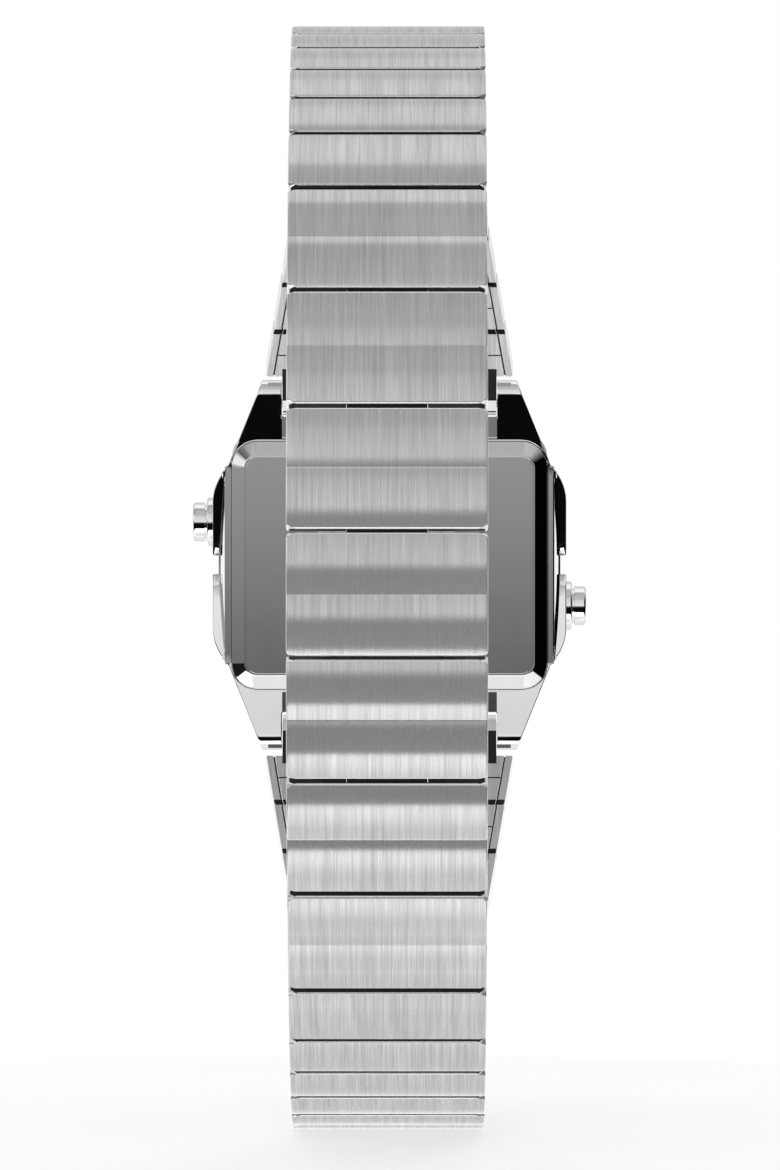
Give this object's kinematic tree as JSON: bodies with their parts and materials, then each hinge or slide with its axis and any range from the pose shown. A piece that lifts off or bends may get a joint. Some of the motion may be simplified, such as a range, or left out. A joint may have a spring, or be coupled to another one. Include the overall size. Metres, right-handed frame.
{
  "type": "digital wristwatch",
  "caption": "Square steel digital wristwatch with two pushers, on a closed link bracelet with a hidden butterfly clasp.",
  "frame": {"origin": "centre of the case back's outer face", "axes": "+Z towards 12 o'clock, +Y out of the case back towards the wrist, +X towards 3 o'clock as the wearer reads it"},
  "size_m": [0.037, 0.09, 0.098],
  "materials": {
    "case_steel": "mirror polished stainless steel",
    "case_back_steel": "satin stainless steel with a polished chamfer",
    "bracelet_steel": "brushed along the bracelet, polished edges",
    "clasp_steel": "brushed spring steel",
    "pusher_steel": "polished stainless steel",
    "bar_steel": "turned steel",
    "contact_steel": "nickel-plated spring steel",
    "battery_steel": "satin nickel-plated can",
    "crystal_glass": "clear mineral glass",
    "lcd_glass": "grey-green liquid crystal panel",
    "mask_print": "black print behind the glass",
    "module_plastic": "black moulded plastic",
    "board_laminate": "green circuit board laminate",
    "seal_rubber": "black nitrile rubber",
    "seal_plastic": "translucent nylon seal"
  },
  "bodies": {
    "head": {"mid_case": "case_steel", "case_back": "case_back_steel", "case_back_seal": "seal_rubber", "bezel": "case_steel", "crystal": "crystal_glass", "crystal_seal": "seal_plastic", "display_mask": "mask_print", "lcd_panel": "lcd_glass", "module_frame": "module_plastic", "circuit_board": "board_laminate", "battery": "battery_steel", "battery_clip": "contact_steel", "pusher_collars": "pusher_steel", "pusher_seals": "seal_rubber", "pusher_spring_2": "contact_steel", "pusher_spring_8": "contact_steel", "spring_bar_12": "bar_steel"},
    "pusher_2": {"pusher_2": "pusher_steel"},
    "pusher_8": {"pusher_8": "pusher_steel"},
    "upper_link_01": {"upper_link_01": "bracelet_steel"},
    "upper_link_02": {"upper_link_02": "bracelet_steel"},
    "upper_link_03": {"upper_link_03": "bracelet_steel"},
    "upper_link_04": {"upper_link_04": "bracelet_steel"},
    "upper_link_05": {"upper_link_05": "bracelet_steel"},
    "upper_link_06": {"upper_link_06": "bracelet_steel"},
    "upper_link_07": {"upper_link_07": "bracelet_steel"},
    "upper_link_08": {"upper_link_08": "bracelet_steel"},
    "upper_link_09": {"upper_link_09": "bracelet_steel"},
    "upper_link_10": {"upper_link_10": "bracelet_steel"},
    "upper_link_11": {"upper_link_11": "bracelet_steel"},
    "upper_link_12": {"upper_link_12": "bracelet_steel"},
    "upper_link_13": {"upper_link_13": "bracelet_steel"},
    "upper_link_14": {"upper_link_14": "bracelet_steel"},
    "upper_long_link": {"upper_long_link": "bracelet_steel"},
    "upper_double_link_1": {"upper_double_link_1": "bracelet_steel"},
    "upper_double_link_2": {"upper_double_link_2": "bracelet_steel"},
    "upper_double_link_3": {"upper_double_link_3": "bracelet_steel"},
    "centre_link": {"centre_link": "bracelet_steel"},
    "clasp_blade_upper": {"clasp_blade_upper": "clasp_steel"},
    "clasp_plate": {"clasp_plate": "clasp_steel"},
    "clasp_blade_lower": {"clasp_blade_lower": "clasp_steel"},
    "lower_double_link_3": {"lower_double_link_3": "bracelet_steel"},
    "lower_double_link_2": {"lower_double_link_2": "bracelet_steel"},
    "lower_double_link_1": {"lower_double_link_1": "bracelet_steel"},
    "lower_long_link": {"lower_long_link": "bracelet_steel"},
    "lower_link_14": {"lower_link_14": "bracelet_steel"},
    "lower_link_13": {"lower_link_13": "bracelet_steel"},
    "lower_link_12": {"lower_link_12": "bracelet_steel"},
    "lower_link_11": {"lower_link_11": "bracelet_steel"},
    "lower_link_10": {"lower_link_10": "bracelet_steel"},
    "lower_link_09": {"lower_link_09": "bracelet_steel"},
    "lower_link_08": {"lower_link_08": "bracelet_steel"},
    "lower_link_07": {"lower_link_07": "bracelet_steel"},
    "lower_link_06": {"lower_link_06": "bracelet_steel"},
    "lower_link_05": {"lower_link_05": "bracelet_steel"},
    "lower_link_04": {"lower_link_04": "bracelet_steel"},
    "lower_link_03": {"lower_link_03": "bracelet_steel"},
    "lower_link_02": {"lower_link_02": "bracelet_steel"},
    "lower_link_01": {"lower_link_01": "bracelet_steel", "spring_bar_6": "bar_steel"}
  },
  "joints": [
    {"name": "upper_link_01_hinge", "type": "hinge", "parent": "head", "child": "upper_link_01", "pos_m": [0, -0.00135, 0.0151], "axis": [1, 0, 0], "range_deg": [0, 40.09]},
    {"name": "upper_link_02_hinge", "type": "hinge", "parent": "upper_link_01", "child": "upper_link_02", "pos_m": [0, 0.00342, 0.02165], "axis": [1, 0, 0], "range_deg": [0, 4.8]},
    {"name": "upper_link_03_hinge", "type": "hinge", "parent": "upper_link_02", "child": "upper_link_03", "pos_m": [0, 0.00669, 0.02601], "axis": [1, 0, 0], "range_deg": [0, 5.25]},
    {"name": "upper_link_04_hinge", "type": "hinge", "parent": "upper_link_03", "child": "upper_link_04", "pos_m": [0, 0.01006, 0.03029], "axis": [1, 0, 0], "range_deg": [0, 5.96]},
    {"name": "upper_link_05_hinge", "type": "hinge", "parent": "upper_link_04", "child": "upper_link_05", "pos_m": [0, 0.01357, 0.03446], "axis": [1, 0, 0], "range_deg": [0, 7.07]},
    {"name": "upper_link_06_hinge", "type": "hinge", "parent": "upper_link_05", "child": "upper_link_06", "pos_m": [0, 0.0173, 0.03844], "axis": [1, 0, 0], "range_deg": [0, 8.82]},
    {"name": "upper_link_07_hinge", "type": "hinge", "parent": "upper_link_06", "child": "upper_link_07", "pos_m": [0, 0.02134, 0.04208], "axis": [1, 0, 0], "range_deg": [0, 11.56]},
    {"name": "upper_link_08_hinge", "type": "hinge", "parent": "upper_link_07", "child": "upper_link_08", "pos_m": [0, 0.02584, 0.04517], "axis": [1, 0, 0], "range_deg": [0, 15.86]},
    {"name": "upper_link_09_hinge", "type": "hinge", "parent": "upper_link_08", "child": "upper_link_09", "pos_m": [0, 0.03087, 0.04726], "axis": [1, 0, 0], "range_deg": [0, 22.6]},
    {"name": "upper_link_10_hinge", "type": "hinge", "parent": "upper_link_09", "child": "upper_link_10", "pos_m": [0, 0.03631, 0.04764], "axis": [1, 0, 0], "range_deg": [0, 12.5]},
    {"name": "upper_link_11_hinge", "type": "hinge", "parent": "upper_link_10", "child": "upper_link_11", "pos_m": [0, 0.04174, 0.04721], "axis": [1, 0, 0], "range_deg": [0, 12]},
    {"name": "upper_link_12_hinge", "type": "hinge", "parent": "upper_link_11", "child": "upper_link_12", "pos_m": [0, 0.04706, 0.04603], "axis": [1, 0, 0], "range_deg": [0, 11.5]},
    {"name": "upper_link_13_hinge", "type": "hinge", "parent": "upper_link_12", "child": "upper_link_13", "pos_m": [0, 0.05218, 0.04417], "axis": [1, 0, 0], "range_deg": [0, 10.5]},
    {"name": "upper_link_14_hinge", "type": "hinge", "parent": "upper_link_13", "child": "upper_link_14", "pos_m": [0, 0.05706, 0.04174], "axis": [1, 0, 0], "range_deg": [0, 10.5]},
    {"name": "upper_long_link_hinge", "type": "hinge", "parent": "upper_link_14", "child": "upper_long_link", "pos_m": [0, 0.06163, 0.03877], "axis": [1, 0, 0], "range_deg": [0, 11.5]},
    {"name": "upper_double_link_1_hinge", "type": "hinge", "parent": "upper_long_link", "child": "upper_double_link_1", "pos_m": [0, 0.06684, 0.03432], "axis": [1, 0, 0], "range_deg": [0, 17]},
    {"name": "upper_double_link_2_hinge", "type": "hinge", "parent": "upper_double_link_1", "child": "upper_double_link_2", "pos_m": [0, 0.07306, 0.02592], "axis": [1, 0, 0], "range_deg": [0, 16]},
    {"name": "upper_double_link_3_hinge", "type": "hinge", "parent": "upper_double_link_2", "child": "upper_double_link_3", "pos_m": [0, 0.07739, 0.01641], "axis": [1, 0, 0], "range_deg": [0, 16.9]},
    {"name": "centre_link_hinge", "type": "hinge", "parent": "upper_double_link_3", "child": "centre_link", "pos_m": [0, 0.07949, 0.00617], "axis": [1, 0, 0], "range_deg": [0, 15.6]},
    {"name": "clasp_opening", "type": "hinge", "parent": "centre_link", "child": "clasp_blade_upper", "pos_m": [0, 0.07767, -0.00383], "axis": [1, 0, 0], "range_deg": [0, 150]},
    {"name": "clasp_plate_upper_hinge", "type": "hinge", "parent": "clasp_blade_upper", "child": "clasp_plate", "pos_m": [0, 0.07694, 0.0078], "axis": [1, 0, 0], "range_deg": [-150, 0]},
    {"name": "clasp_plate_lower_hinge", "type": "hinge", "parent": "clasp_plate", "child": "clasp_blade_lower", "pos_m": [0, 0.07438, -0.01747], "axis": [1, 0, 0], "range_deg": [-150, 0]},
    {"name": "clasp_end_hinge", "type": "hinge", "parent": "clasp_blade_lower", "child": "lower_double_link_3", "pos_m": [0, 0.07743, -0.00622], "axis": [1, 0, 0], "range_deg": [0, 150]},
    {"name": "lower_double_link_2_hinge", "type": "hinge", "parent": "lower_double_link_3", "child": "lower_double_link_2", "pos_m": [0, 0.07739, -0.01641], "axis": [1, 0, 0], "range_deg": [0, 16.9]},
    {"name": "lower_double_link_1_hinge", "type": "hinge", "parent": "lower_double_link_2", "child": "lower_double_link_1", "pos_m": [0, 0.07306, -0.02592], "axis": [1, 0, 0], "range_deg": [0, 16]},
    {"name": "lower_long_link_hinge", "type": "hinge", "parent": "lower_double_link_1", "child": "lower_long_link", "pos_m": [0, 0.06684, -0.03432], "axis": [1, 0, 0], "range_deg": [0, 17]},
    {"name": "lower_link_14_hinge", "type": "hinge", "parent": "lower_long_link", "child": "lower_link_14", "pos_m": [0, 0.06163, -0.03877], "axis": [1, 0, 0], "range_deg": [0, 11.5]},
    {"name": "lower_link_13_hinge", "type": "hinge", "parent": "lower_link_14", "child": "lower_link_13", "pos_m": [0, 0.05706, -0.04174], "axis": [1, 0, 0], "range_deg": [0, 10.5]},
    {"name": "lower_link_12_hinge", "type": "hinge", "parent": "lower_link_13", "child": "lower_link_12", "pos_m": [0, 0.05218, -0.04417], "axis": [1, 0, 0], "range_deg": [0, 10.5]},
    {"name": "lower_link_11_hinge", "type": "hinge", "parent": "lower_link_12", "child": "lower_link_11", "pos_m": [0, 0.04706, -0.04603], "axis": [1, 0, 0], "range_deg": [0, 11.5]},
    {"name": "lower_link_10_hinge", "type": "hinge", "parent": "lower_link_11", "child": "lower_link_10", "pos_m": [0, 0.04174, -0.04721], "axis": [1, 0, 0], "range_deg": [0, 12]},
    {"name": "lower_link_09_hinge", "type": "hinge", "parent": "lower_link_10", "child": "lower_link_09", "pos_m": [0, 0.03631, -0.04764], "axis": [1, 0, 0], "range_deg": [0, 12.5]},
    {"name": "lower_link_08_hinge", "type": "hinge", "parent": "lower_link_09", "child": "lower_link_08", "pos_m": [0, 0.03087, -0.04726], "axis": [1, 0, 0], "range_deg": [0, 22.6]},
    {"name": "lower_link_07_hinge", "type": "hinge", "parent": "lower_link_08", "child": "lower_link_07", "pos_m": [0, 0.02584, -0.04517], "axis": [1, 0, 0], "range_deg": [0, 15.86]},
    {"name": "lower_link_06_hinge", "type": "hinge", "parent": "lower_link_07", "child": "lower_link_06", "pos_m": [0, 0.02134, -0.04208], "axis": [1, 0, 0], "range_deg": [0, 11.56]},
    {"name": "lower_link_05_hinge", "type": "hinge", "parent": "lower_link_06", "child": "lower_link_05", "pos_m": [0, 0.0173, -0.03844], "axis": [1, 0, 0], "range_deg": [0, 8.82]},
    {"name": "lower_link_04_hinge", "type": "hinge", "parent": "lower_link_05", "child": "lower_link_04", "pos_m": [0, 0.01357, -0.03446], "axis": [1, 0, 0], "range_deg": [0, 7.07]},
    {"name": "lower_link_03_hinge", "type": "hinge", "parent": "lower_link_04", "child": "lower_link_03", "pos_m": [0, 0.01006, -0.03029], "axis": [1, 0, 0], "range_deg": [0, 5.96]},
    {"name": "lower_link_02_hinge", "type": "hinge", "parent": "lower_link_03", "child": "lower_link_02", "pos_m": [0, 0.00669, -0.02601], "axis": [1, 0, 0], "range_deg": [0, 5.25]},
    {"name": "lower_link_01_hinge", "type": "hinge", "parent": "lower_link_02", "child": "lower_link_01", "pos_m": [0, 0.00342, -0.02165], "axis": [1, 0, 0], "range_deg": [0, 4.8]},
    {"name": "pusher_2_press", "type": "slide", "parent": "head", "child": "pusher_2", "axis": [-1, 0, 0], "range_m": [0, 0.0008], "stiffness_N_per_m": 1500, "springref_m": -0.0005, "deforming": ["pusher_spring_2"]},
    {"name": "pusher_8_press", "type": "slide", "parent": "head", "child": "pusher_8", "axis": [1, 0, 0], "range_m": [0, 0.0008], "stiffness_N_per_m": 1500, "springref_m": -0.0005, "deforming": ["pusher_spring_8"]}
  ],
  "couplings": [
    {"joint": "clasp_plate_upper_hinge", "follows": "clasp_opening", "ratio": -1},
    {"joint": "clasp_plate_lower_hinge", "follows": "clasp_opening", "ratio": -1},
    {"joint": "clasp_end_hinge", "follows": "clasp_opening", "ratio": 1}
  ]
}
